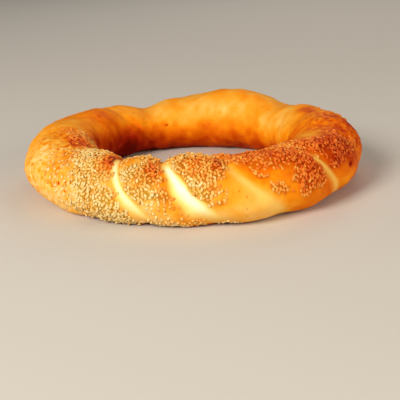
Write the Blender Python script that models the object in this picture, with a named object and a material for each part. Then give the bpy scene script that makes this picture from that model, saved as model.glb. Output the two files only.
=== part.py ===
"""Simit: one ring of bread, rolled from two ropes of dough twisted round each other.

The ring lies flat in the XY plane, +Z up, and rests on z = 0. Angles along the ring are
in degrees, counted from +X towards +Y; the ring's front is at 270 degrees. The two ropes
wind round the ring and leave shallow spiral valleys between them. Their ends are rolled
together at the back into a plain, swollen joint. Lengths are in metres.
"""

import bpy
import numpy as np

MM = 0.001

# The ring and the section of its strand.
RING_RADIUS = 70.4 * MM            # from the ring's middle to the middle of the strand
HALF_WIDTH = 18.6 * MM             # half the strand's width, along the ring's radius
HALF_HEIGHT = 15.4 * MM            # half the strand's height before its foot is flattened
SINK = 0.93                        # height of the section's middle over the foot, in half heights

# Each valley between the ropes, in order round the ring: where it crosses the outside at
# mid height, in degrees; how upright its upper part stands (0 is an even spiral); and its
# share of the full depth.
VALLEYS = (
    (116.0, 0.40, 0.20), (144.0, 0.40, 0.35), (169.0, 0.40, 0.20), (193.5, 0.40, 0.45),
    (228.5, 0.30, 0.70), (247.5, 0.35, 1.00), (267.5, 0.05, 1.00), (292.8, -0.38, 0.70),
    (321.0, 0.50, 0.80), (344.0, 0.50, 0.45), (363.0, 0.40, 0.40), (379.0, 0.30, 0.36),
    (403.0, 0.30, 0.08),
)
VALLEY_STEP = 24.5                 # mean spacing of the valleys
VALLEY_BLEND = 7.0                 # the spacing changes smoothly over this many degrees
UPRIGHT_AT = 55.0                  # direction, round the section, where a valley stands steepest
VALLEY_DEPTH = 3.0 * MM            # from the ropes' crowns to the bottom of a valley
CROWN_RISE = 0.9 * MM              # how far the crowns stand proud of the plain section
VALLEY_SHARPNESS = 2.2             # higher makes a narrower valley
VALLEY_ROUNDING = 0.06             # keeps the bottom of a valley from being a crease
FOOT_RELIEF = 0.30                 # share of the relief left under the ring

# The lap: in the hole, the joint's end stands proud of the rope that runs in under it.
LAP_VALLEY = 1                     # the valley along the lap's edge
LAP_DEPTH = 2.0 * MM               # how far the rope is sunk at the edge
LAP_RUN = 0.45                     # how slowly the rope comes up again, in ropes
LAP_MIDDLE = 190.0                 # the lap's middle and spread round the section, degrees
LAP_SPREAD = 50.0

# The plain joint where the rope ends are rolled together.
JOINT_START = 36.0
JOINT_END = 111.0
JOINT_FADE = 7.0

# Uneven growth: middle and spread in degrees, extra height and extra half width.
SWELLS = (
    (68.0, 18.5, 4.6 * MM, 1.5 * MM),      # the fat joint
    (113.0, 10.0, -4.9 * MM, -0.5 * MM),   # the dip where the joint overlaps the twist
    (104.0, 30.0, -0.6 * MM, 0.0),
    (118.0, 5.0, 0.5 * MM, 0.0),
    (129.0, 7.0, -1.2 * MM, 0.0),
    (140.0, 8.0, 0.5 * MM, 0.0),
    (168.0, 26.0, 0.8 * MM, 0.2 * MM),     # the left side
    (205.0, 24.0, 0.0, 0.6 * MM),
    (246.0, 9.0, -1.6 * MM, 0.0),          # the front, lobe by lobe
    (258.0, 16.0, 0.0, -1.2 * MM),
    (275.0, 8.0, 1.6 * MM, 0.0),
    (288.0, 12.0, -0.6 * MM, 1.2 * MM),
    (312.0, 14.0, 1.4 * MM, 0.2 * MM),
    (354.0, 6.0, 1.3 * MM, 0.0),           # the right side
    (3.0, 14.0, 2.2 * MM, 1.0 * MM),
    (14.0, 5.0, -0.4 * MM, 0.0),
    (24.0, 5.0, 0.9 * MM, 0.0),
    (33.0, 6.0, 0.9 * MM, 0.0),
    (39.0, 9.0, -2.6 * MM, -0.5 * MM),     # the dip at the joint's other end
    (48.0, 7.0, -1.0 * MM, 0.0),
)

# The grid that the surface is worked out on.
STATIONS = 136                     # sections round the ring
SECTION_POINTS = 34                # points round each section
SHARP_ANGLE = 50.0                 # edges bent more than this stay sharp


def clear_scene():
    """Remove every object, so that the script starts from an empty scene."""
    for item in list(bpy.data.objects):
        bpy.data.objects.remove(item, do_unlink=True)


def turn_distance(angle, middle):
    """Signed distance in degrees from middle to angle, the short way round the ring."""
    return (angle - middle + 180.0) % 360.0 - 180.0


def along_valleys(angle, values, slope):
    """Carry one value per valley along the ring.

    The values are joined by straight lines, go on with the given slope beyond the first
    and the last valley, and are smoothed with a rounded window.
    """
    at = np.array([valley[0] for valley in VALLEYS])
    line = np.linspace(at[0] - 60.0, at[-1] + 60.0, 2400)
    carried = np.interp(line, at, values)
    carried = np.where(line < at[0], values[0] + (line - at[0]) * slope, carried)
    carried = np.where(line > at[-1], values[-1] + (line - at[-1]) * slope, carried)
    reach = int(VALLEY_BLEND / (line[1] - line[0]))
    window = np.hanning(2 * reach + 1)
    window /= window.sum()
    carried = np.convolve(np.pad(carried, reach, mode="edge"), window, "valid")
    start = at[0] - 30.0
    return np.interp((angle - start) % 360.0 + start, line, carried)


def smooth_step(value, low, high):
    """0 up to low, 1 from high on, and 3t^2 - 2t^3 between them."""
    t = np.clip((value - low) / (high - low), 0.0, 1.0)
    return t * t * (3.0 - 2.0 * t)


def rope_place(angle, around):
    """Where a point lies across the ropes: a whole number is a valley, a half a crown.

    The place is count + turn / pi. The count grows by one from valley to valley along
    the ring. The turn is the direction round the section, around, less
    lead * sin(around - upright), which makes a valley stand steeper near upright.
    """
    count = along_valleys(angle, np.arange(len(VALLEYS), dtype=float), 1.0 / VALLEY_STEP)
    lead = along_valleys(angle, np.array([valley[1] for valley in VALLEYS]), 0.0)
    upright = np.radians(UPRIGHT_AT)
    turn = around - lead * (np.sin(around - upright) + np.sin(upright))
    return count + turn / np.pi


def twisted_share(angle):
    """1 where the ropes are twisted, 0 along the plain joint, with a smooth change."""
    middle = (JOINT_START + JOINT_END) / 2.0
    half = (JOINT_END - JOINT_START) / 2.0
    reach = np.abs(turn_distance(angle, middle))
    return smooth_step(reach, half - JOINT_FADE, half + JOINT_FADE)


def valley_share(angle):
    """How deep the valleys are along the ring, as a share of the full depth."""
    depth = along_valleys(angle, np.array([valley[2] for valley in VALLEYS]), 0.0)
    return depth * twisted_share(angle)


def swelling(angle):
    """Extra height and extra half width along the ring: a sum of bell curves."""
    height = np.zeros_like(angle)
    width = np.zeros_like(angle)
    for middle, spread, more_height, more_width in SWELLS:
        bell = np.exp(-(turn_distance(angle, middle) / spread) ** 2)
        height = height + more_height * bell
        width = width + more_width * bell
    return height, width


def rope_relief(angle, around):
    """Height of the ropes over the plain section.

    Crowns stand proud and valleys are cut in. Past the lap's edge the rope is sunk, most
    at the edge and inside the hole, and comes up again slowly.
    """
    place = rope_place(angle, around)
    distance = np.sqrt((2.0 * (place - np.round(place))) ** 2 + VALLEY_ROUNDING ** 2)
    cut = VALLEY_DEPTH * np.clip(1.0 - distance, 0.0, 1.0) ** VALLEY_SHARPNESS
    share = (1.0 + FOOT_RELIEF) / 2.0 + (1.0 - FOOT_RELIEF) / 2.0 * np.sin(around)
    past = place - LAP_VALLEY
    off_middle = turn_distance(np.degrees(around), LAP_MIDDLE) / LAP_SPREAD
    sunk = LAP_DEPTH * smooth_step(past, -0.05, 0.09) * np.exp(-off_middle ** 2)
    sunk = sunk * np.exp(-np.maximum(past, 0.0) / LAP_RUN)
    return (CROWN_RISE - cut) * valley_share(angle) * share - sunk


def ring_surface(angle, around):
    """The ring's surface as x, y, z.

    angle runs along the ring in degrees. around is the direction in radians round the
    section: 0 points outwards, pi/2 up and pi to the hole. The section is an ellipse,
    stretched upwards by the swelling, with the ropes' relief added along its own
    direction, and its foot is cut off flat at z = 0.
    """
    more_height, more_width = swelling(angle)
    relief = rope_relief(angle, around)
    middle = HALF_HEIGHT * SINK
    rise = HALF_HEIGHT + more_height
    radius = RING_RADIUS + (HALF_WIDTH + more_width + relief) * np.cos(around)
    above = middle + (rise + relief) * np.sin(around)
    below = middle + (HALF_HEIGHT + relief) * np.sin(around)
    z = np.maximum(np.where(np.sin(around) > 0.0, above, below), 0.0)
    along = np.radians(angle)
    return radius * np.cos(along), radius * np.sin(along), z


def grid_faces(rows, columns):
    """Quads of a grid that closes in both directions, with their fronts facing out."""
    row, column = np.meshgrid(np.arange(rows), np.arange(columns), indexing="ij")
    next_row = (row + 1) % rows
    next_column = (column + 1) % columns
    corners = (row * columns + column, next_row * columns + column,
               next_row * columns + next_column, row * columns + next_column)
    return np.stack(corners, axis=-1).reshape(-1, 4)


def ring_mesh(name):
    """The ring as a closed mesh, with the middle of its box over the origin."""
    angle, around = np.meshgrid(
        np.arange(STATIONS) * 360.0 / STATIONS,
        (np.arange(SECTION_POINTS) + 0.5) * 2.0 * np.pi / SECTION_POINTS,
        indexing="ij",
    )
    x, y, z = ring_surface(angle, around)
    x = x - (x.max() + x.min()) / 2.0
    y = y - (y.max() + y.min()) / 2.0
    points = np.stack((x, y, z), axis=-1).reshape(-1, 3)
    mesh = bpy.data.meshes.new(name)
    mesh.from_pydata(points.tolist(), [], grid_faces(STATIONS, SECTION_POINTS).tolist())
    mesh.validate()
    mesh.shade_smooth()
    mesh.set_sharp_from_angle(angle=np.radians(SHARP_ANGLE))
    return mesh


def baked_crust():
    """Baked dough: golden orange, slightly glossy from its molasses dip."""
    material = bpy.data.materials.new("baked_crust")
    material.use_nodes = True
    shader = material.node_tree.nodes["Principled BSDF"]
    shader.inputs["Base Color"].default_value = (0.62, 0.25, 0.05, 1.0)
    shader.inputs["Roughness"].default_value = 0.5
    shader.inputs["Metallic"].default_value = 0.0
    return material


def bread_ring():
    """The whole simit: one closed piece of bread."""
    mesh = ring_mesh("bread_ring")
    mesh.materials.append(baked_crust())
    ring = bpy.data.objects.new("bread_ring", mesh)
    bpy.context.scene.collection.objects.link(ring)
    return ring


clear_scene()
bread_ring()
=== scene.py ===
"""Looks of a simit: one ring of twisted bread dough, baked and crusted with sesame seeds."""

import bpy
import numpy as np
from mathutils import Matrix, Vector


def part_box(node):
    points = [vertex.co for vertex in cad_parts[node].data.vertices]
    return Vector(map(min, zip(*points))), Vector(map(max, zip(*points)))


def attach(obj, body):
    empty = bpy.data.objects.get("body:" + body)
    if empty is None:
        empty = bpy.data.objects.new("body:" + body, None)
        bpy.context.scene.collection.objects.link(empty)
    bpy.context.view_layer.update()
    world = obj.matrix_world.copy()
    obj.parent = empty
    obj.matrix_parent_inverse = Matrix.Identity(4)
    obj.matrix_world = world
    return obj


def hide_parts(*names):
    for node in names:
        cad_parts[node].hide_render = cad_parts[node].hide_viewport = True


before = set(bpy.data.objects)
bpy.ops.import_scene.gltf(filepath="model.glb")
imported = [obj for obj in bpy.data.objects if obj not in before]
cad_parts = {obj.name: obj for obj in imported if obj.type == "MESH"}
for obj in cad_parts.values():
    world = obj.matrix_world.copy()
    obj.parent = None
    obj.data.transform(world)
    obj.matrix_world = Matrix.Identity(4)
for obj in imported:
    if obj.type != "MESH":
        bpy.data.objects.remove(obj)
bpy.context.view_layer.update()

MM = 0.001


# ------------------------------------------------------------------ the bread ring
# Two ropes of wheat dough, twisted round each other, their ends rolled together at the
# back into a plain, swollen joint. The ring was dipped in thinned grape molasses, rolled
# in sesame and baked on a tray, so its crowns are brown and its stretched valleys pale.
# Its colour also holds painted shade between the seeds, in the hollows and low in the
# hole, and a painted highlight on the palest band.

RING_RADIUS = 70.4 * MM            # from the ring's middle to the middle of the strand
HALF_WIDTH = 18.6 * MM             # half the strand's width, along the ring's radius
HALF_HEIGHT = 15.4 * MM            # half the strand's height before its foot is flattened
SINK = 0.93                        # height of the section's middle over the foot, in half heights

# Each valley between the ropes, in order round the ring: where it crosses the outside at
# mid height, in degrees from +X towards +Y; how upright its upper part stands (0 is an
# even spiral); and its share of the full depth.
VALLEYS = (
    (116.0, 0.40, 0.20), (144.0, 0.40, 0.35), (169.0, 0.40, 0.20), (193.5, 0.40, 0.45),
    (228.5, 0.30, 0.70), (247.5, 0.35, 1.00), (267.5, 0.05, 1.00), (292.8, -0.38, 0.70),
    (321.0, 0.50, 0.80), (344.0, 0.50, 0.45), (363.0, 0.40, 0.40), (379.0, 0.30, 0.36),
    (403.0, 0.30, 0.08),
)
VALLEY_STEP = 24.5                 # mean spacing of the valleys
VALLEY_BLEND = 7.0                 # the spacing changes smoothly over this many degrees
UPRIGHT_AT = 55.0                  # direction, round the section, where a valley stands steepest
VALLEY_DEPTH = 3.0 * MM            # from the ropes' crowns to the bottom of a valley
CROWN_RISE = 0.9 * MM              # how far the crowns stand proud of the plain section
VALLEY_SHARPNESS = 2.2             # higher makes a narrower valley
VALLEY_ROUNDING = 0.06             # keeps the bottom of a valley from being a crease
FOOT_RELIEF = 0.30                 # share of the relief left under the ring

# The lap: in the hole, the joint's end stands proud of the rope that runs in under it.
LAP_VALLEY = 1                     # the valley along the lap's edge
LAP_DEPTH = 2.0 * MM               # how far the rope is sunk at the edge
LAP_RUN = 0.45                     # how slowly the rope comes up again, in ropes
LAP_MIDDLE = 190.0                 # the lap's middle and spread round the section, degrees
LAP_SPREAD = 50.0

JOINT_START = 36.0                 # the plain joint, in degrees
JOINT_END = 111.0
JOINT_FADE = 7.0

# Uneven growth: middle and spread in degrees, extra height and extra half width.
SWELLS = (
    (68.0, 18.5, 4.6 * MM, 1.5 * MM),      # the fat joint
    (113.0, 10.0, -4.9 * MM, -0.5 * MM),   # the dip where the joint overlaps the twist
    (104.0, 30.0, -0.6 * MM, 0.0),
    (118.0, 5.0, 0.5 * MM, 0.0),
    (129.0, 7.0, -1.2 * MM, 0.0),
    (140.0, 8.0, 0.5 * MM, 0.0),
    (168.0, 26.0, 0.8 * MM, 0.2 * MM),     # the left side
    (205.0, 24.0, 0.0, 0.6 * MM),
    (246.0, 9.0, -1.6 * MM, 0.0),          # the front, lobe by lobe
    (258.0, 16.0, 0.0, -1.2 * MM),
    (275.0, 8.0, 1.6 * MM, 0.0),
    (288.0, 12.0, -0.6 * MM, 1.2 * MM),
    (312.0, 14.0, 1.4 * MM, 0.2 * MM),
    (354.0, 6.0, 1.3 * MM, 0.0),           # the right side
    (3.0, 14.0, 2.2 * MM, 1.0 * MM),
    (14.0, 5.0, -0.4 * MM, 0.0),
    (24.0, 5.0, 0.9 * MM, 0.0),
    (33.0, 6.0, 0.9 * MM, 0.0),
    (39.0, 9.0, -2.6 * MM, -0.5 * MM),     # the dip at the joint's other end
    (48.0, 7.0, -1.0 * MM, 0.0),
)

# The curled lobe on the left: the rope's skin folded over there, so its edge stands proud
# of the rope behind. The edge lies at the first place below and at the second above the
# first two directions; the lobe sinks back by the last place; and it stands between the
# lowest and the highest direction. Directions are in degrees from the outside upwards.
CURL_RISE = 1.2 * MM
CURL_EDGE = (3.08, 2.88)
CURL_EDGE_TURNS = (112.0, 136.0)
CURL_ENDS = (3.30, 3.95)
CURL_LOWEST = 98.0
CURL_HIGHEST = 164.0

# Where the crust is lumpy and flecked: middle and spread in degrees, and how much.
LUMPY = ((206.0, 20.0, 1.0), (352.0, 17.0, 0.8))

STATIONS = 640                     # sections round the ring
SECTION_POINTS = 154               # points round each section


def smooth_step(value, low, high):
    """0 up to low, 1 from high on, and 3t^2 - 2t^3 between them."""
    t = np.clip((value - low) / (high - low), 0.0, 1.0)
    return t * t * (3.0 - 2.0 * t)


def turn_distance(angle, middle):
    """Signed distance in degrees from middle to angle, the short way round the ring."""
    return (angle - middle + 180.0) % 360.0 - 180.0


def along_valleys(angle, values, slope):
    """Carry one value per valley along the ring.

    The values are joined by straight lines, go on with the given slope beyond the first
    and the last valley, and are smoothed with a rounded window.
    """
    at = np.array([valley[0] for valley in VALLEYS])
    line = np.linspace(at[0] - 60.0, at[-1] + 60.0, 2400)
    carried = np.interp(line, at, values)
    carried = np.where(line < at[0], values[0] + (line - at[0]) * slope, carried)
    carried = np.where(line > at[-1], values[-1] + (line - at[-1]) * slope, carried)
    reach = int(VALLEY_BLEND / (line[1] - line[0]))
    window = np.hanning(2 * reach + 1)
    window /= window.sum()
    carried = np.convolve(np.pad(carried, reach, mode="edge"), window, "valid")
    start = at[0] - 30.0
    return np.interp((angle - start) % 360.0 + start, line, carried)


def rope_place(angle, around):
    """Where a point lies across the ropes: a whole number is a valley, a half a crown.

    The place is count + turn / pi. The count grows by one from valley to valley along
    the ring. The turn is the direction round the section, around, less
    lead * sin(around - upright), which makes a valley stand steeper near upright.
    """
    count = along_valleys(angle, np.arange(len(VALLEYS), dtype=float), 1.0 / VALLEY_STEP)
    lead = along_valleys(angle, np.array([valley[1] for valley in VALLEYS]), 0.0)
    upright = np.radians(UPRIGHT_AT)
    turn = around - lead * (np.sin(around - upright) + np.sin(upright))
    return count + turn / np.pi


def twisted_share(angle):
    """1 where the ropes are twisted, 0 along the plain joint, with a smooth change."""
    middle = (JOINT_START + JOINT_END) / 2.0
    half = (JOINT_END - JOINT_START) / 2.0
    reach = np.abs(turn_distance(angle, middle))
    return smooth_step(reach, half - JOINT_FADE, half + JOINT_FADE)


def valley_share(angle):
    """How deep the valleys are along the ring, as a share of the full depth."""
    depth = along_valleys(angle, np.array([valley[2] for valley in VALLEYS]), 0.0)
    return depth * twisted_share(angle)


def swelling(angle):
    """Extra height and extra half width along the ring: a sum of bell curves."""
    height = np.zeros_like(angle)
    width = np.zeros_like(angle)
    for middle, spread, more_height, more_width in SWELLS:
        bell = np.exp(-(turn_distance(angle, middle) / spread) ** 2)
        height = height + more_height * bell
        width = width + more_width * bell
    return height, width


def rope_relief(angle, around):
    """Height of the ropes over the plain section.

    Crowns stand proud and valleys are cut in. Past the lap's edge the rope is sunk, most
    at the edge and inside the hole, and comes up again slowly.
    """
    place = rope_place(angle, around)
    distance = np.sqrt((2.0 * (place - np.round(place))) ** 2 + VALLEY_ROUNDING ** 2)
    cut = VALLEY_DEPTH * np.clip(1.0 - distance, 0.0, 1.0) ** VALLEY_SHARPNESS
    share = (1.0 + FOOT_RELIEF) / 2.0 + (1.0 - FOOT_RELIEF) / 2.0 * np.sin(around)
    past = place - LAP_VALLEY
    off_middle = turn_distance(np.degrees(around), LAP_MIDDLE) / LAP_SPREAD
    sunk = LAP_DEPTH * smooth_step(past, -0.05, 0.09) * np.exp(-off_middle ** 2)
    sunk = sunk * np.exp(-np.maximum(past, 0.0) / LAP_RUN)
    return (CROWN_RISE - cut) * valley_share(angle) * share - sunk


def ripples(angle, around, wavelength, seed, stretch=1.0, count=48):
    """Even, closed noise of about unit size: a sum of plane waves round the ring.

    Each wave makes a whole number of turns along the ring and round the section, so that
    the sum closes in both directions. Its length is wavelength, give or take a third. A
    stretch over 1 draws the ripples out round the section.
    """
    draw = np.random.default_rng(seed)
    ring_length = 2.0 * np.pi * RING_RADIUS
    section_length = 2.0 * np.pi * (HALF_WIDTH + HALF_HEIGHT) / 2.0 / stretch
    total = np.zeros_like(angle)
    for _ in range(count):
        heading = draw.uniform(0.0, 2.0 * np.pi)
        length = wavelength * draw.uniform(0.75, 1.4)
        turns_along = np.round(ring_length / length * np.cos(heading))
        turns_around = np.round(section_length / length * np.sin(heading))
        start = draw.uniform(0.0, 2.0 * np.pi)
        total = total + np.cos(turns_along * np.radians(angle) + turns_around * around + start)
    return total / np.sqrt(count / 2.0)


def lumpy_share(angle, around):
    """How lumpy the crust is, 0 to 1: bells along the ring that fade out in the hole."""
    lumpy = np.zeros_like(angle)
    for middle, spread, amount in LUMPY:
        lumpy = lumpy + amount * np.exp(-(turn_distance(angle, middle) / spread) ** 2)
    return lumpy * smooth_step(np.cos(around), -0.8, -0.1)


def curl_relief(angle, around):
    """Height of the curled lobe: steep at its edge, slow at its end, and faded each way."""
    inward = np.degrees(around) % 360.0
    place = rope_place(angle, around) + 0.03 * ripples(angle, around, 8.0 * MM, 4)
    edge = CURL_EDGE[0] + (CURL_EDGE[1] - CURL_EDGE[0]) * smooth_step(inward, *CURL_EDGE_TURNS)
    rise = smooth_step(place - edge, -0.05, 0.08) * (1.0 - smooth_step(place, *CURL_ENDS))
    rise = rise * smooth_step(inward, CURL_LOWEST - 12.0, CURL_LOWEST + 12.0)
    return CURL_RISE * rise * (1.0 - smooth_step(inward, CURL_HIGHEST - 14.0, CURL_HIGHEST + 14.0))


def fine_relief(angle, around):
    """Hand-made unevenness of the dough, from broad swellings down to small lumps."""
    return curl_relief(angle, around) + (
        0.34 * MM * ripples(angle, around, 26.0 * MM, 1)
        + 0.12 * MM * ripples(angle, around, 11.0 * MM, 2)
        + (0.02 + 0.10 * lumpy_share(angle, around)) * MM * ripples(angle, around, 3.8 * MM, 3)
    )


def ring_surface(angle, around, fine=True):
    """The ring's surface as an array of points.

    angle runs along the ring in degrees. around is the direction in radians round the
    section: 0 points outwards, pi/2 up and pi to the hole. The section is an ellipse,
    stretched upwards by the swelling, with the ropes' relief added along its own
    direction, and its foot is cut off flat at z = 0.
    """
    more_height, more_width = swelling(angle)
    relief = rope_relief(angle, around)
    if fine:
        relief = relief + fine_relief(angle, around) - PIT_DEPTH * pits(angle, around)
    middle = HALF_HEIGHT * SINK
    rise = HALF_HEIGHT + more_height
    radius = RING_RADIUS + (HALF_WIDTH + more_width + relief) * np.cos(around)
    above = middle + (rise + relief) * np.sin(around)
    below = middle + (HALF_HEIGHT + relief) * np.sin(around)
    z = np.maximum(np.where(np.sin(around) > 0.0, above, below), 0.0)
    along = np.radians(angle)
    return np.stack((radius * np.cos(along), radius * np.sin(along), z), axis=-1)


def ring_grid(stations, section_points):
    """Angles along the ring and directions round the section, from the foot's middle."""
    return np.meshgrid(
        np.arange(stations) * 360.0 / stations,
        -np.pi / 2.0 + (np.arange(section_points) + 0.5) * 2.0 * np.pi / section_points,
        indexing="ij",
    )


# Bands of pale dough that stretched open in the oven, each beside the valley of the given
# number: how far its middle lies past the valley on top and how much further for each
# unit of depth below the top, its half width (all as shares of the way to the next
# valley), how pale it is, and the directions below and above which it fades out, in degrees.
# The palest cores, near white beside valley 6, are partly painted highlight.
PALE_BANDS = (
    (5, -0.040, 0.168, 0.106, 0.84, -32.0, 92.0),
    (6, 0.018, 0.068, 0.142, 0.95, -33.0, 86.0),
    (7, -0.060, -0.015, 0.100, 0.36, -60.0, 58.0),
    (8, -0.085, 0.030, 0.074, 0.31, -50.0, 66.0),
)
# Bare pale spots, and one of painted light: middle along the ring and round the section, the
# spread each way, all in degrees, and how pale.
PALE_AND_LIT_SPOTS = (
    (231.0, 14.0, 1.5, 9.0, 0.34), (230.5, -14.0, 1.7, 11.0, 0.36), (222.0, 26.0, 3.0, 7.0, 0.12),
    (246.0, 74.0, 1.2, 8.0, 0.12), (292.0, -22.0, 5.0, 16.0, 0.14), (203.0, 46.0, 4.0, 9.0, 0.10),
    # Painted light: the front foot made paler where the floor shades it.
    (279.0, -27.0, 7.0, 9.0, 0.18),
)


def paleness(angle, around):
    """How pale the crust is at a point, 0 to 1: stretched dough, with painted light in places.

    Across a band it is a bell, exp(-|side / width|^n), whose left side reaches further
    and falls off more slowly. The band widens towards the foot, where the ropes were
    pulled apart, and fades out slowly below and faster on top. The spots are plain bells.
    """
    place = rope_place(angle, around)
    down = 1.0 - np.sin(around)
    uneven = 1.0 + 0.10 * ripples(angle, around, 16.0 * MM, 11)
    degrees = np.degrees(around)
    pale = np.zeros_like(angle)
    for valley, offset, drift, width, amount, lowest, highest in PALE_BANDS:
        side = place - valley - offset - drift * down
        reach = width * (0.62 + 0.38 * down) * uneven
        reach = np.where(side < 0.0, (0.95 + 0.45 * down) * reach, reach)
        band = np.exp(-np.abs(side / reach) ** np.where(side < 0.0, 2.4, 3.0))
        band = band * smooth_step(degrees, lowest - 34.0, lowest + 34.0)
        band = band * (1.0 - smooth_step(degrees, highest - 22.0, highest + 22.0))
        pale = np.maximum(pale, amount * band)
    pale = pale * twisted_share(angle)
    for middle, direction, spread_along, spread_around, amount in PALE_AND_LIT_SPOTS:
        far_along = turn_distance(angle, middle) / spread_along
        far_around = turn_distance(np.degrees(around), direction) / spread_around
        pale = np.maximum(pale, amount * np.exp(-far_along ** 2 - far_around ** 2))
    return pale


# Where the sesame stuck, patch by patch. A patch lies on the rope past the valley of the
# given number. It runs between two shares of that rope's width, a start and an end, each
# given at 60 degrees up the outside and at mid height; between two directions, lowest
# and highest, in degrees from the outside upwards; and it has a thickness.
SEEDED = (
    (0, 0.15, 0.15, 0.85, 0.85, -30.0, 50.0, 0.03),
    (1, 0.15, 0.15, 0.85, 0.85, -30.0, 45.0, 0.04),
    (2, 0.15, 0.15, 0.85, 0.85, -30.0, 10.0, 0.02),
    (2, 0.78, 0.78, 1.05, 1.05, 84.0, 136.0, 0.14),
    (3, 0.74, 0.74, 1.12, 1.12, -24.0, 84.0, 0.16),
    (3, 0.12, 0.12, 0.80, 0.80, 99.0, 122.0, 0.42),      # the curled lobe on the left
    (3, -0.04, -0.04, 0.78, 0.78, 122.0, 158.0, 0.42),
    (4, 0.12, 0.25, 0.91, 0.93, -14.0, 106.0, 1.00),     # the left front lobe, seeded all over
    (4, 0.00, 0.12, 0.30, 0.40, -25.0, 105.0, 0.30),
    (4, 0.10, -0.05, 0.91, 0.93, -60.0, -14.0, 1.00),
    (5, 0.10, 0.24, 0.87, 0.82, 2.0, 112.0, 1.00),
    (5, 0.30, 0.30, 0.88, 0.86, -24.0, 4.0, 0.16),
    (5, 0.10, 0.10, 0.95, 0.95, -70.0, -40.0, 0.26),
    (6, 0.13, 0.22, 0.89, 0.38, -5.0, 112.0, 1.00),
    (6, 0.12, 0.12, 0.70, 0.50, -70.0, -44.0, 0.10),
    (7, 0.19, 0.13, 0.28, 0.23, -3.0, 58.0, 0.95),       # a thin chain of seeds
    (7, 0.18, 0.11, 0.61, 0.17, 46.0, 100.0, 0.35),
    (7, 0.64, 0.35, 0.99, 0.73, -4.0, 108.0, 0.72),      # the right front lobe
    (8, 0.04, 0.11, 1.07, 0.02, 8.0, 68.0, 0.80),        # the right lobe, seeded aslant
    (8, 0.00, 0.00, 0.34, 0.34, 50.0, 84.0, 0.70),
    (8, 0.30, 0.30, 1.10, 1.02, 25.0, 60.0, 0.42),
    (10, 0.15, 0.15, 0.85, 0.85, -20.0, 60.0, 0.05),
    (11, 0.15, 0.15, 0.85, 0.85, -30.0, 50.0, 0.03),
)
# A bare patch within them: its middle along the ring and round the section, and its
# spread each way, in degrees.
UNSEEDED = (
    (245.8, 76.0, 2.4, 13.0), (238.8, 90.0, 1.8, 28.0), (261.0, 88.0, 1.2, 18.0),
    (339.0, 112.0, 12.0, 38.0), (352.0, 72.0, 8.0, 28.0),
)


def seed_cover(angle, around):
    """How thickly sesame lies at a point, 0 to 1: the thickest of the SEEDED patches."""
    place = rope_place(angle, around) + 0.035 * ripples(angle, around, 7.0 * MM, 21)
    degrees = np.degrees(around) + 4.0 * ripples(angle, around, 8.0 * MM, 22)
    height = np.clip(degrees / 60.0, -0.7, 1.6)
    cover = np.zeros_like(angle)
    for rope, start_up, start_low, end_up, end_low, lowest, highest, thick in SEEDED:
        across = place - rope
        start = start_low + (start_up - start_low) * height
        end = end_low + (end_up - end_low) * height
        patch = smooth_step(across, start - 0.03, start + 0.04)
        patch = patch * (1.0 - smooth_step(across, end - 0.05, end + 0.03))
        patch = patch * smooth_step(degrees, lowest - 6.0, lowest + 6.0)
        patch = patch * (1.0 - smooth_step(degrees, highest - 12.0, highest + 12.0))
        cover = np.maximum(cover, thick * patch)
    for middle, direction, spread_along, spread_around in UNSEEDED:
        far_along = turn_distance(angle, middle) / spread_along
        far_around = turn_distance(np.degrees(around), direction) / spread_around
        cover = cover * (1.0 - np.exp(-far_along ** 2 - far_around ** 2))
    patches = smooth_step(ripples(angle, around, 14.0 * MM, 23), -2.0, -0.8)
    return cover * patches * twisted_share(angle)


# How brown the crust is along the ropes, by place: whole numbers are the valleys in
# order, and the joint runs from 12 past the last one round to 0.
BROWN_ALONG = (
    (0.1, 0.19), (0.6, 0.26), (1.0, 0.31), (1.5, 0.36), (2.3, 0.29), (2.9, 0.22), (3.5, 0.07),
    (4.0, 0.13), (4.4, 0.10), (4.8, 0.14), (4.96, 0.22), (5.08, 0.03), (5.3, 0.04), (5.5, 0.09),
    (5.7, 0.24), (5.92, 0.32), (6.0, 0.20), (6.06, 0.09), (6.3, 0.21), (6.45, 0.29), (6.58, 0.20),
    (6.8, 0.13), (6.98, 0.12), (7.05, 0.28), (7.14, 0.43), (7.3, 0.47), (7.65, 0.62), (7.9, 0.62),
    (8.02, 0.52), (8.16, 0.68), (8.4, 0.72), (8.65, 0.64), (9.0, 0.55), (9.4, 0.54),
    (10.3, 0.42), (11.2, 0.28), (12.0, 0.20),
)
FRONT_MIDDLE = 266.0               # inside the hole, the front of the ring browned evenly
FRONT_SPREAD = 52.0
INNER_BROWN = 0.24
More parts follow.
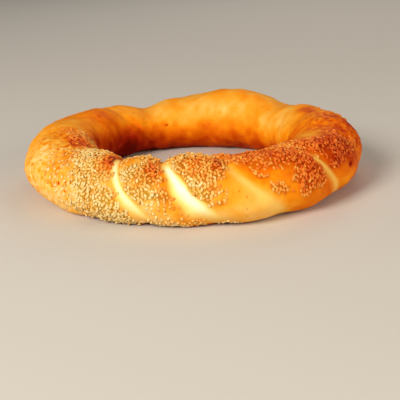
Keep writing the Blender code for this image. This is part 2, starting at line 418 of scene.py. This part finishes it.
# Where it browned more or less than that, and where painted shade darkens it: the spot's
# middle along the ring and round the section, its spread each way, all in degrees, and by how much.
BROWNED_AND_SHADED_SPOTS = (
    # The inner wall at the back; the hollow past the lap's edge and the strip behind the curled lobe's
    # edge are darkened as painted shade.
    (96.0, 163.0, 5.0, 14.0, -0.14), (107.0, 156.0, 5.0, 10.0, 0.07), (133.0, 188.0, 10.0, 34.0, 0.16),
    (150.0, 160.0, 18.0, 34.0, 0.18), (155.0, 126.0, 10.0, 16.0, 0.12), (160.0, 180.0, 8.0, 14.0, 0.12),
    (172.0, 156.0, 9.0, 18.0, 0.24), (175.0, 162.0, 6.0, 14.0, 0.20),
    # The joint, its back edge and its dips.
    (11.0, 160.0, 10.0, 20.0, -0.14), (17.0, 101.0, 8.0, 16.0, 0.32), (30.0, 152.0, 10.0, 24.0, -0.14),
    (32.0, 188.0, 14.0, 22.0, -0.12), (47.0, 132.0, 3.5, 36.0, 0.05), (66.0, 108.0, 22.0, 16.0, 0.10),
    (75.0, 4.0, 48.0, 58.0, 0.13), (76.0, 148.0, 20.0, 20.0, -0.11),
    # The left side and its curled lobe, whose inner slope is darkened as painted shade.
    (170.5, 99.0, 7.0, 12.0, -0.09), (184.0, 150.0, 9.0, 14.0, 0.22), (190.0, 126.0, 15.0, 30.0, 0.18),
    (191.0, 88.0, 8.0, 14.0, 0.08), (204.0, 112.0, 14.0, 26.0, 0.42), (206.0, 44.0, 6.0, 14.0, -0.08),
    (209.0, 93.0, 7.0, 14.0, 0.12), (218.0, 72.0, 5.0, 16.0, 0.16),
    # The front lobes: scorched rims, paler seeds beside the widest band.
    (231.5, 4.0, 3.0, 20.0, -0.14), (239.0, 88.0, 4.0, 30.0, 0.68), (246.5, 80.0, 2.2, 10.0, 0.22),
    (256.5, 60.0, 3.8, 26.0, 0.34), (261.0, 28.0, 2.2, 22.0, 0.16), (269.5, 34.0, 2.8, 14.0, -0.22),
    (275.0, 72.0, 6.0, 20.0, 0.16), (276.5, -3.0, 3.0, 10.0, 0.16), (277.5, 54.0, 3.2, 12.0, 0.12),
    (278.5, 72.0, 2.4, 22.0, 0.34), (279.0, 36.0, 3.2, 16.0, 0.18), (282.0, 12.0, 5.0, 14.0, 0.10),
    (287.0, -38.0, 11.0, 40.0, -0.12), (288.0, 36.0, 3.5, 10.0, 0.07),
    # The right lobes, pale on top and low down, and the far right rim.
    (294.0, 70.0, 7.0, 13.0, -0.11), (300.0, 34.0, 5.0, 16.0, -0.12), (300.0, 112.0, 18.0, 18.0, -0.18),
    (303.0, -24.0, 5.0, 10.0, -0.08), (306.0, 56.0, 4.0, 12.0, 0.08), (307.0, 90.0, 5.0, 9.0, -0.10),
    (310.0, -10.0, 8.0, 14.0, -0.05), (317.0, 68.0, 4.0, 9.0, 0.06), (322.0, 30.0, 4.0, 14.0, 0.10),
    (325.5, 84.0, 5.0, 11.0, -0.17), (328.0, 98.0, 12.0, 16.0, -0.30), (330.0, -8.0, 12.0, 20.0, -0.20),
    (332.0, 46.0, 9.0, 30.0, 0.10), (332.0, 114.0, 14.0, 20.0, -0.20), (343.0, 134.0, 8.0, 14.0, -0.08),
    (354.0, 44.0, 7.0, 30.0, 0.20),
)
# Pits where a bubble broke and burnt: along the ring, round the section and how dark.
PITS = (
    (330.2, 8.0, 0.55), (331.2, 10.0, 0.50), (106.8, 164.0, 0.42), (191.8, 65.0, 0.70),
    (189.8, 51.0, 0.42), (202.8, 69.0, 0.34), (210.6, 69.0, 0.48), (210.8, 84.0, 0.34),
    (221.5, 70.0, 0.50), (220.5, 41.0, 0.40), (209.0, 39.0, 0.26), (221.5, 29.0, 0.30),
    (204.5, 25.0, 0.52), (201.5, 17.0, 0.34), (223.5, 14.0, 0.85), (227.0, 18.0, 0.50),
    (220.8, 6.0, 0.46), (226.8, 3.0, 0.50), (215.0, 13.0, 0.26), (227.2, -12.0, 0.42),
    (223.5, -25.0, 0.28),
    (279.0, 66.0, 0.40), (288.0, 69.0, 0.30), (284.0, 45.0, 0.20), (72.0, 150.0, 0.18),
    (150.0, 120.0, 0.20), (172.0, 84.0, 0.26), (20.0, 60.0, 0.30), (40.0, 20.0, 0.22),
    (98.0, 30.0, 0.28), (140.0, 10.0, 0.24), (165.0, 30.0, 0.30), (300.0, -30.0, 0.22),
)
PIT_RADIUS = 0.85 * MM
PIT_DEPTH = 0.50 * MM


def pits(angle, around):
    """How far a point lies in one of the PITS, 0 to its darkness: bells of one radius."""
    inside = np.zeros_like(angle)
    for middle, direction, dark in PITS:
        reach = RING_RADIUS + HALF_WIDTH * np.cos(np.radians(direction))
        far_along = np.radians(turn_distance(angle, middle)) * reach
        far_around = np.radians(turn_distance(np.degrees(around), direction)) * HALF_HEIGHT
        inside = inside + dark * np.exp(-(far_along ** 2 + far_around ** 2) / PIT_RADIUS ** 2)
    return inside


def browning_and_shade(angle, around, cover):
    """How far the crust browned, 0 to 1, with painted shade counted in.

    The ropes carry their own brown, to which come: a little on upper faces; some between
    the seeds, there partly painted shade; much low inside the hole, partly browned near the
    tray and partly painted shade; the spots listed above as bells, some of them painted
    shade; the PITS; and an even mottling, a little streaked round the section.
    """
    place = rope_place(angle, around)
    line = np.array(BROWN_ALONG)
    brown = np.interp(place, line[:, 0], line[:, 1])
    inward = np.degrees(around) % 360.0
    even = smooth_step(inward, 112.0, 142.0) * (inward < 300.0)
    even = even * np.exp(-(turn_distance(angle, FRONT_MIDDLE) / FRONT_SPREAD) ** 4)
    brown = brown + (INNER_BROWN - brown) * even
    # Browner on upper faces, and between the seeds, where it is partly painted shade.
    brown = brown + 0.05 * np.sin(around) + 0.08 * cover
    # Dark low inside the hole: partly browned near the tray, partly painted shade.
    brown = brown + 0.56 * smooth_step(inward, 132.0, 224.0) * (inward < 300.0)
    for middle, direction, spread_along, spread_around, amount in BROWNED_AND_SHADED_SPOTS:
        far_along = turn_distance(angle, middle) / spread_along
        far_around = turn_distance(np.degrees(around), direction) / spread_around
        brown = brown + amount * np.exp(-far_along ** 2 - far_around ** 2)
    brown = brown + 0.035 * ripples(angle, around, 18.0 * MM, 31, 1.6)
    brown = brown + 0.022 * ripples(angle, around, 8.0 * MM, 32)
    return np.clip(brown + pits(angle, around), 0.0, 1.0)


def linear(hex_colour):
    """An sRGB hex colour as linear red, green, blue and alpha."""
    value = np.array([int(hex_colour[k:k + 2], 16) for k in (1, 3, 5)]) / 255.0
    value = np.where(value <= 0.04045, value / 12.92, ((value + 0.055) / 1.055) ** 2.4)
    return (*value.tolist(), 1.0)


def add(material, kind, links=None, **settings):
    """Add one node to a material.

    links gives, for an input's name or number, the socket that feeds it or a fixed value.
    The other settings are the node's own properties.
    """
    tree = material.node_tree
    made = tree.nodes.new(kind)
    for name, value in settings.items():
        setattr(made, name, value)
    for name, value in (links or {}).items():
        if isinstance(value, bpy.types.NodeSocket):
            tree.links.new(value, made.inputs[name])
        else:
            made.inputs[name].default_value = value
    return made


def ramp(material, fac, stops):
    """A colour ramp node with (position, hex colour) stops, fed by fac."""
    made = add(material, "ShaderNodeValToRGB", {"Fac": fac})
    elements = made.color_ramp.elements
    elements[0].position, elements[0].color = stops[0][0], linear(stops[0][1])
    elements[1].position, elements[1].color = stops[-1][0], linear(stops[-1][1])
    for position, colour in stops[1:-1]:
        elements.new(position).color = linear(colour)
    return made.outputs["Color"]


def new_material(name):
    """An empty material with one Principled shader, and that shader."""
    material = bpy.data.materials.new(name)
    material.use_nodes = True
    return material, material.node_tree.nodes["Principled BSDF"]


def baked_crust():
    """Baked wheat crust glazed with molasses: satin, mottled, pale where it stretched, with painted
    shade and painted highlight in its colour.
    """
    material, shader = new_material("baked_wheat_crust")
    place = add(material, "ShaderNodeTexCoord").outputs["Object"]
    toast_and_shade = add(material, "ShaderNodeAttribute", attribute_name="toast_and_shade").outputs["Fac"]
    pale = add(material, "ShaderNodeAttribute", attribute_name="pale").outputs["Fac"]
    seeded = add(material, "ShaderNodeAttribute", attribute_name="seeded").outputs["Fac"]
    lumpy = add(material, "ShaderNodeAttribute", attribute_name="lumpy").outputs["Fac"]

    def noise(size, detail=3.0, roughness=0.55):
        """Noise whose features are about size metres across."""
        return add(material, "ShaderNodeTexNoise",
                   {"Vector": place, "Scale": 1.0 / size, "Detail": detail,
                    "Roughness": roughness}).outputs["Fac"]

    def scaled(value, factor, offset=0.0):
        """value * factor + offset."""
        return add(material, "ShaderNodeMath", {0: value, 1: factor, 2: offset},
                   operation="MULTIPLY_ADD").outputs[0]

    def total(first, second):
        """first + second."""
        return add(material, "ShaderNodeMath", {0: first, 1: second},
                   operation="ADD").outputs[0]

    blotches = scaled(noise(6.0 * MM), 0.18, -0.09)
    grain = scaled(noise(1.8 * MM, 2.0), 0.12, -0.06)
    # The lumpy sides are flecked pale and brown, a few mm from fleck to fleck.
    flecks = add(material, "ShaderNodeMapRange",
                 {"Value": noise(2.8 * MM, 2.0), "From Min": 0.38, "From Max": 0.70,
                  "To Min": -0.11, "To Max": 0.23}).outputs["Result"]
    flecks = add(material, "ShaderNodeMath", {0: flecks, 1: lumpy},
                 operation="MULTIPLY").outputs[0]
    shade = total(total(total(toast_and_shade, blotches), grain), flecks)
    crust = ramp(material, shade, (
        (0.00, "#f4c97e"), (0.10, "#f3b956"), (0.24, "#f1a42e"), (0.38, "#ed8c0e"),
        (0.54, "#d96704"), (0.70, "#ba4000"), (0.85, "#9a1e00"), (1.00, "#6a0e00")))
    # Pale stretched dough; its near white end is partly painted highlight.
    stretched_and_highlit = ramp(material, total(pale, scaled(noise(3.0 * MM), 0.14, -0.07)), (
        (0.05, "#f2aa38"), (0.35, "#f6c560"), (0.62, "#f9dc88"), (0.86, "#fff2c0"),
        (1.00, "#fffaea")))
    reach = add(material, "ShaderNodeMapRange",
                {"Value": pale, "From Min": 0.02, "From Max": 0.36}).outputs["Result"]
    dough = add(material, "ShaderNodeMix", {0: reach, 6: crust, 7: stretched_and_highlit},
                data_type="RGBA").outputs[2]
    # Between the seeds the crust is darker and duller: partly steeped in their oil, partly painted
    # shade between the seeds.
    oil_stained_and_shaded = ramp(material, shade, (
        (0.00, "#b88f32"), (0.20, "#b68626"), (0.40, "#b86812"), (0.60, "#aa4400"),
        (0.80, "#8c2600"), (1.00, "#501000")))
    dough = add(material, "ShaderNodeMix", {0: seeded, 6: dough, 7: oil_stained_and_shaded},
                data_type="RGBA").outputs[2]

    # Specks: pores and scorched flour grains, about 1 mm across and a few mm apart.
    cells = add(material, "ShaderNodeTexVoronoi", {"Vector": place, "Scale": 1.0 / (3.4 * MM)})
    speck = add(material, "ShaderNodeMapRange",
                {"Value": cells.outputs["Distance"], "From Min": 0.10, "From Max": 0.24,
                 "To Min": 1.0, "To Max": 0.0}).outputs["Result"]
    chance = add(material, "ShaderNodeSeparateColor",
                 {"Color": cells.outputs["Color"]}).outputs["Red"]
    # About a quarter of the cells hold one, some faint and some dark, more of them where the
    # crust is lumpy, and none is on pale dough.
    chance = total(chance, scaled(lumpy, 0.24))
    kept = add(material, "ShaderNodeMapRange",
               {"Value": chance, "From Min": 0.76, "From Max": 1.0}).outputs["Result"]
    speck = add(material, "ShaderNodeMath", {0: speck, 1: kept},
                operation="MULTIPLY").outputs[0]
    speck = add(material, "ShaderNodeMath", {0: speck, 1: scaled(reach, -1.0, 1.0)},
                operation="MULTIPLY").outputs[0]
    dark = scaled(speck, 0.60)
    colour = add(material, "ShaderNodeMix", {0: dark, 6: dough, 7: linear("#a24e10")},
                 data_type="RGBA").outputs[2]
    material.node_tree.links.new(colour, shader.inputs["Base Color"])

    gloss = scaled(noise(5.0 * MM), 0.20, 0.45)
    material.node_tree.links.new(gloss, shader.inputs["Roughness"])

    fine = add(material, "ShaderNodeBump",
               {"Height": noise(0.9 * MM, 4.0, 0.6), "Strength": 0.35,
                "Distance": 0.20 * MM}).outputs["Normal"]
    pitted = add(material, "ShaderNodeBump",
                 {"Height": speck, "Strength": 0.6, "Distance": 0.35 * MM, "Normal": fine},
                 invert=True).outputs["Normal"]
    material.node_tree.links.new(pitted, shader.inputs["Normal"])
    shader.inputs["Specular IOR Level"].default_value = 0.03
    return material


def grid_faces(rows, columns):
    """Quads of a grid that closes in both directions, with their fronts facing out."""
    row, column = np.meshgrid(np.arange(rows), np.arange(columns), indexing="ij")
    next_row = (row + 1) % rows
    next_column = (column + 1) % columns
    corners = (row * columns + column, next_row * columns + column,
               next_row * columns + next_column, row * columns + next_column)
    return np.stack(corners, axis=-1).reshape(-1, 4)


def make_piece(name, points, faces, material):
    """A smooth mesh object at the origin from arrays of points and of equal-sized faces."""
    mesh = bpy.data.meshes.new(name)
    sides = faces.shape[1]
    mesh.vertices.add(len(points))
    mesh.vertices.foreach_set("co", points.astype(np.float32).ravel())
    mesh.loops.add(faces.size)
    mesh.loops.foreach_set("vertex_index", faces.astype(np.int32).ravel())
    mesh.polygons.add(len(faces))
    mesh.polygons.foreach_set("loop_start", np.arange(0, faces.size, sides, dtype=np.int32))
    mesh.update(calc_edges=True)
    mesh.validate()
    mesh.shade_smooth()
    mesh.materials.append(material)
    made = bpy.data.objects.new(name, mesh)
    bpy.context.scene.collection.objects.link(made)
    return made


def set_attribute(piece, name, values):
    """Store one number per vertex."""
    layer = piece.data.attributes.new(name, "FLOAT", "POINT")
    layer.data.foreach_set("value", values.astype(np.float32).ravel())


angle, around = ring_grid(STATIONS, SECTION_POINTS)
plain = ring_surface(angle, around, fine=False).reshape(-1, 3)
low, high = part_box("bread_ring")
shift = (np.array(low) + np.array(high)) / 2.0 - (plain.min(axis=0) + plain.max(axis=0)) / 2.0
shift[2] = 0.0
points = ring_surface(angle, around) + shift
bread = make_piece("bread_crust", points.reshape(-1, 3),
                   grid_faces(STATIONS, SECTION_POINTS), baked_crust())
cover = seed_cover(angle, around)
set_attribute(bread, "seeded", cover)
set_attribute(bread, "toast_and_shade", browning_and_shade(angle, around, cover))
set_attribute(bread, "pale", paleness(angle, around))
set_attribute(bread, "lumpy", lumpy_share(angle, around))
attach(bread, "root")
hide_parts("bread_ring")


# ------------------------------------------------------------------ the sesame
# Hulled sesame seeds, stuck to the molasses before baking and toasted with the crust.
# They lie flat in one crowded layer on the front and right crowns, with a few riding on
# others, and only a few are left at the left side, the back and the foot.

SEED_LENGTH = 2.30 * MM
SEED_WIDTH = 1.38 * MM
SEED_THICKNESS = 0.85 * MM
SEED_GAP = 1.18 * MM               # least distance between the middles of seeds in the layer
SEED_TRIES = 2.2 / MM ** 2         # tries for each square metre of full cover
SEED_BEND = 0.25                   # how far its ends droop, in thicknesses, at unit length
SEED_SIDES = 8
SEED_RINGS = 4
SIZE_SPREAD = 0.09                 # spread of a seed's size, as a share of it
UPPER_SHARE = 0.10                 # share of the thickest patches' seeds that ride on others
UPPER_RISE = 0.75                  # how high those lie, in thicknesses
SPIN_MIDDLE = np.radians(90.0)     # most seeds lie round the section, give or take the spread
SPIN_SPREAD = np.radians(38.0)
TILT_SPREAD = np.radians(9.0)
ROLL_SPREAD = np.radians(14.0)
LOOSE_TOAST = 0.20                 # loose seeds far from the front toasted this much more
TONE_SPREAD = 0.09
PALE_BELOW = 0.38                  # a seed's tone, 0 to 1, puts it in one of three kinds
BROWN_ABOVE = 0.58


def seed_shape():
    """One seed as points, faces, its way along and its way around, at unit size.

    The outline is a drop, t^0.5 * (1 - t)^0.75, blunt at t = 0 and pointed at t = 1, and
    the section is an ellipse. The two ends are single points.
    """
    t = (1.0 - np.cos(np.pi * np.arange(1, SEED_RINGS + 1) / (SEED_RINGS + 1))) / 2.0
    t = t ** 0.9
    outline = t ** 0.5 * (1.0 - t) ** 0.75
    outline = outline / outline.max() / 2.0
    turn = 2.0 * np.pi * np.arange(SEED_SIDES) / SEED_SIDES
    x = np.repeat(t - 0.5, SEED_SIDES)
    y = np.outer(outline, np.cos(turn)).ravel()
    z = np.outer(outline, np.sin(turn)).ravel()
    body = np.stack((x, y, z), axis=-1)
    points = np.vstack((body, [[-0.5, 0.0, 0.0]], [[0.5, 0.0, 0.0]]))
    first, last = len(body), len(body) + 1
    faces = []
    for side in range(SEED_SIDES):
        other = (side + 1) % SEED_SIDES
        faces.append((first, side, other))
        for ring in range(SEED_RINGS - 1):
            a, b = ring * SEED_SIDES + side, ring * SEED_SIDES + other
            faces.append((a, a + SEED_SIDES, b))
            faces.append((b, a + SEED_SIDES, b + SEED_SIDES))
        a, b = (SEED_RINGS - 1) * SEED_SIDES + side, (SEED_RINGS - 1) * SEED_SIDES + other
        faces.append((a, last, b))
    along = np.concatenate((np.repeat(t, SEED_SIDES), [0.0, 1.0]))
    return points, np.array(faces), along


def surface_frame(angle, around):
    """Points of the crust with a direction along the ring, one across, and the normal."""
    small_angle, small_turn = 0.25, 0.008
    here = ring_surface(angle, around)
    ahead = ring_surface(angle + small_angle, around) - ring_surface(angle - small_angle, around)
    beside = ring_surface(angle, around + small_turn) - ring_surface(angle, around - small_turn)
    normal = np.cross(ahead, beside)
    normal /= np.linalg.norm(normal, axis=-1, keepdims=True)
    ahead /= np.linalg.norm(ahead, axis=-1, keepdims=True)
    return here + shift, ahead, np.cross(normal, ahead), normal


def scatter(draw):
    """Angles and directions of the seeds in the lower layer.

    Tries fall evenly on the crust, a try counts with the odds of the cover there, and it
    is kept if no kept seed lies nearer than the gap. A grid of boxes one gap wide holds
    the kept seeds, so that only neighbours are compared.
    """
    step_along = np.roll(points, -1, axis=0) - points
    step_around = np.roll(points, -1, axis=1) - points
    area = np.linalg.norm(np.cross(step_along, step_around), axis=-1)
    weight = (area * cover).ravel()
    tries = int(weight.sum() * SEED_TRIES)
    cell = draw.choice(weight.size, size=tries, p=weight / weight.sum())
    row, column = np.unravel_index(cell, cover.shape)
    try_angle = (row + draw.random(tries)) * 360.0 / STATIONS
    try_around = (-np.pi / 2.0
                  + (column + 0.5 + draw.random(tries)) * 2.0 * np.pi / SECTION_POINTS)
    spots = ring_surface(try_angle, try_around)
    boxes = np.floor(spots / SEED_GAP).astype(int)
    kept, held = [], {}
    for number, (spot, (i, j, k)) in enumerate(zip(spots, boxes.tolist())):
        near = [other for a in (i - 1, i, i + 1) for b in (j - 1, j, j + 1)
                for c in (k - 1, k, k + 1) for other in held.get((a, b, c), ())]
        if near and (((spots[near] - spot) ** 2).sum(axis=1) < SEED_GAP ** 2).any():
            continue
        held.setdefault((i, j, k), []).append(number)
        kept.append(number)
    return try_angle[kept], try_around[kept]


def turned(frames, spin, tilt, roll):
    """Turn each frame (along, across, normal), by angles in radians.

    It spins about its normal, then tilts its nose up, then rolls about its length.
    """
    along, across, normal = frames
    spin, tilt, roll = (value[:, None] for value in (spin, tilt, roll))
    nose = along * np.cos(spin) + across * np.sin(spin)
    wing = across * np.cos(spin) - along * np.sin(spin)
    top = normal * np.cos(tilt) - nose * np.sin(tilt)
    nose = nose * np.cos(tilt) + normal * np.sin(tilt)
    rolled_wing = wing * np.cos(roll) + top * np.sin(roll)
    rolled_top = top * np.cos(roll) - wing * np.sin(roll)
    return nose, rolled_wing, rolled_top


def seed_mesh(name, middles, frames, sizes, tones, material):
    """Many seeds as one piece: each point is middle + x * nose + y * wing + z * top.

    A seed that would reach under the foot's plane is lifted onto it. The map puts a
    seed's tone across and its length up, so that a seed is one narrow strip of the map,
    and seeds of one tone share it.
    """
    shape, faces, along = seed_shape()
    nose, wing, top = frames
    bent = shape[:, 2] - SEED_BEND * shape[:, 0] ** 2
    placed = (
        middles[:, None, :]
        + (shape[:, 0] * sizes[:, 0:1])[..., None] * nose[:, None, :]
        + (shape[:, 1] * sizes[:, 1:2])[..., None] * wing[:, None, :]
        + (bent * sizes[:, 2:3])[..., None] * top[:, None, :]
    )
    placed[..., 2] -= np.minimum(placed[..., 2].min(axis=1), 0.0)[:, None]
    count, size = placed.shape[:2]
    every = (faces[None, :, :] + size * np.arange(count)[:, None, None]).reshape(-1, 3)
    made = make_piece(name, placed.reshape(-1, 3), every, material)
    strip = 0.03 + 0.94 * tones[:, None] + 0.008 * shape[None, :, 1]
    length = np.broadcast_to(0.05 + 0.90 * along, (count, size))
    corner = every.ravel()
    coordinates = np.stack((strip.ravel()[corner], length.ravel()[corner]), axis=-1)
    layer = made.data.uv_layers.new(name="OFBake")
    layer.uv.foreach_set("vector", coordinates.astype(np.float32).ravel())
    return made


def toasted_sesame():
    """Hulled sesame, toasted: satin cream to brown, darker at the pointed end."""
    material, shader = new_material("toasted_sesame")
    where = add(material, "ShaderNodeUVMap", uv_map="OFBake").outputs["UV"]
    parts = add(material, "ShaderNodeSeparateXYZ", {"Vector": where})
    hull = ramp(material, parts.outputs["X"], (
        (0.03, "#e6ce90"), (0.20, "#e6b45c"), (0.38, "#e3953a"), (0.55, "#dc7222"),
        (0.75, "#c44c10"), (0.97, "#802402")))
    tip = ramp(material, parts.outputs["Y"], (
        (0.05, "#fdf0dc"), (0.25, "#ffffff"), (0.70, "#ffffff"), (0.95, "#e8c498")))
    colour = add(material, "ShaderNodeMix", {0: 1.0, 6: hull, 7: tip},
                 data_type="RGBA", blend_type="MULTIPLY").outputs[2]
    material.node_tree.links.new(colour, shader.inputs["Base Color"])
    shader.inputs["Roughness"].default_value = 0.50
    shader.inputs["Specular IOR Level"].default_value = 0.10
    return material


draw = np.random.default_rng(7)
seed_angle, seed_around = scatter(draw)
seed_spots = seed_cover(seed_angle, seed_around)
upper = draw.random(len(seed_angle)) < UPPER_SHARE * seed_spots
beside_angle = seed_angle[upper] + draw.normal(0.0, 0.7, upper.sum())
beside_around = seed_around[upper] + draw.normal(0.0, 0.05, upper.sum())
seed_angle = np.concatenate((seed_angle, beside_angle))
seed_around = np.concatenate((seed_around, beside_around))
rides = np.arange(len(seed_angle)) >= len(upper)
count = len(seed_angle)
middles, along, across, normal = surface_frame(seed_angle, seed_around)
seed_size = np.array([SEED_LENGTH, SEED_WIDTH, SEED_THICKNESS])
sizes = seed_size * draw.normal(1.0, SIZE_SPREAD, (count, 3))
lift = draw.normal(0.06, 0.10, count) * SEED_THICKNESS
lift = lift + np.where(rides, UPPER_RISE * SEED_THICKNESS, 0.0)
middles = middles + normal * lift[:, None]
tilt = draw.normal(0.0, TILT_SPREAD, count) * np.where(rides, 2.0, 1.0)
spin = draw.normal(SPIN_MIDDLE, SPIN_SPREAD, count) + np.pi * draw.integers(0, 2, count)
roll = draw.normal(0.0, ROLL_SPREAD, count)
frames = turned((along, across, normal), spin, tilt, roll)
heat_and_shade = browning_and_shade(seed_angle, seed_around, np.zeros(count))
loose = LOOSE_TOAST * smooth_step(np.abs(turn_distance(seed_angle, FRONT_MIDDLE)), 75.0, 95.0)
tones = np.clip(-0.05 + heat_and_shade + loose + draw.normal(0.0, TONE_SPREAD, count), 0.0, 1.0)

sesame = toasted_sesame()
for name, least, most in (("sesame_pale", -1.0, PALE_BELOW),
                          ("sesame_golden", PALE_BELOW, BROWN_ABOVE),
                          ("sesame_brown", BROWN_ABOVE, 2.0)):
    chosen = (tones >= least) & (tones < most)
    kind = seed_mesh(name, middles[chosen], [part[chosen] for part in frames],
                     sizes[chosen], tones[chosen], sesame)
    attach(kind, "root")


# ------------------------------------------------------------------ the studio
# A plain pale floor that runs out of sight, a large soft lamp in front on the left, a
# weaker one on the right, a low one behind, and an even pale sky.

def floor():
    """A matt, pale round floor just under the ring's foot."""
    material, shader = new_material("matt_backdrop_paper")
    shader.inputs["Base Color"].default_value = linear("#cfccc7")
    shader.inputs["Roughness"].default_value = 0.9
    bpy.ops.mesh.primitive_circle_add(vertices=96, radius=12.0, fill_type="NGON",
                                      location=(0.0, 0.0, -0.05 * MM))
    made = bpy.context.object
    made.name = "floor"
    made.data.materials.append(material)
    return made


def soft_lamp(name, place, size, power, colour):
    """A square area lamp at place that faces the ring."""
    data = bpy.data.lights.new(name, "AREA")
    data.shape = "SQUARE"
    data.size = size
    data.energy = power
    data.color = linear(colour)[:3]
    lamp = bpy.data.objects.new(name, data)
    lamp.location = place
    lamp.rotation_euler = (-Vector(place)).to_track_quat("-Z", "Y").to_euler()
    bpy.context.scene.collection.objects.link(lamp)


floor()
soft_lamp("key_lamp", (-0.70, -0.90, 0.66), 0.50, 18.4, "#fff4e4")
soft_lamp("fill_lamp", (1.00, -0.62, 0.30), 0.8, 8.8, "#ffecd2")
soft_lamp("back_lamp", (0.25, 0.95, 0.70), 0.5, 2.0, "#fff2e0")

world = bpy.data.worlds.new("studio")
world.use_nodes = True
sky = world.node_tree.nodes["Background"]
sky.inputs["Color"].default_value = linear("#f2f1ee")
sky.inputs["Strength"].default_value = 0.24
bpy.context.scene.world = world
bpy.context.scene.view_settings.view_transform = "Standard"

CAMERA_LENS = 80.0
CAMERA_DISTANCE = 480.0 * MM       # from the plane through the ring's middle, along the view
CAMERA_PITCH = np.radians(18.4)    # how far the camera looks down
CAMERA_ROLL = np.radians(2.2)      # the ring's right side stands a little high
RING_ACROSS = -3.7 * MM            # where the ring's middle lies from the line of sight
RING_UP = 26.2 * MM

forward = Vector((0.0, np.cos(CAMERA_PITCH), -np.sin(CAMERA_PITCH)))
upright = Vector((0.0, np.sin(CAMERA_PITCH), np.cos(CAMERA_PITCH)))
rightward = Vector((1.0, 0.0, 0.0))
camera_right = rightward * np.cos(CAMERA_ROLL) - upright * np.sin(CAMERA_ROLL)
camera_up = rightward * np.sin(CAMERA_ROLL) + upright * np.cos(CAMERA_ROLL)
ring_middle = Vector((*shift[:2], HALF_HEIGHT * SINK))

camera_data = bpy.data.cameras.new("camera")
camera_data.lens = CAMERA_LENS
camera_data.clip_start = 0.01
camera_data.clip_end = 50.0
camera = bpy.data.objects.new("camera", camera_data)
camera.location = (ring_middle - forward * CAMERA_DISTANCE
                   - camera_right * RING_ACROSS - camera_up * RING_UP)
camera.rotation_euler = Matrix((camera_right, camera_up, -forward)).transposed().to_euler()
bpy.context.scene.collection.objects.link(camera)
bpy.context.scene.camera = camera
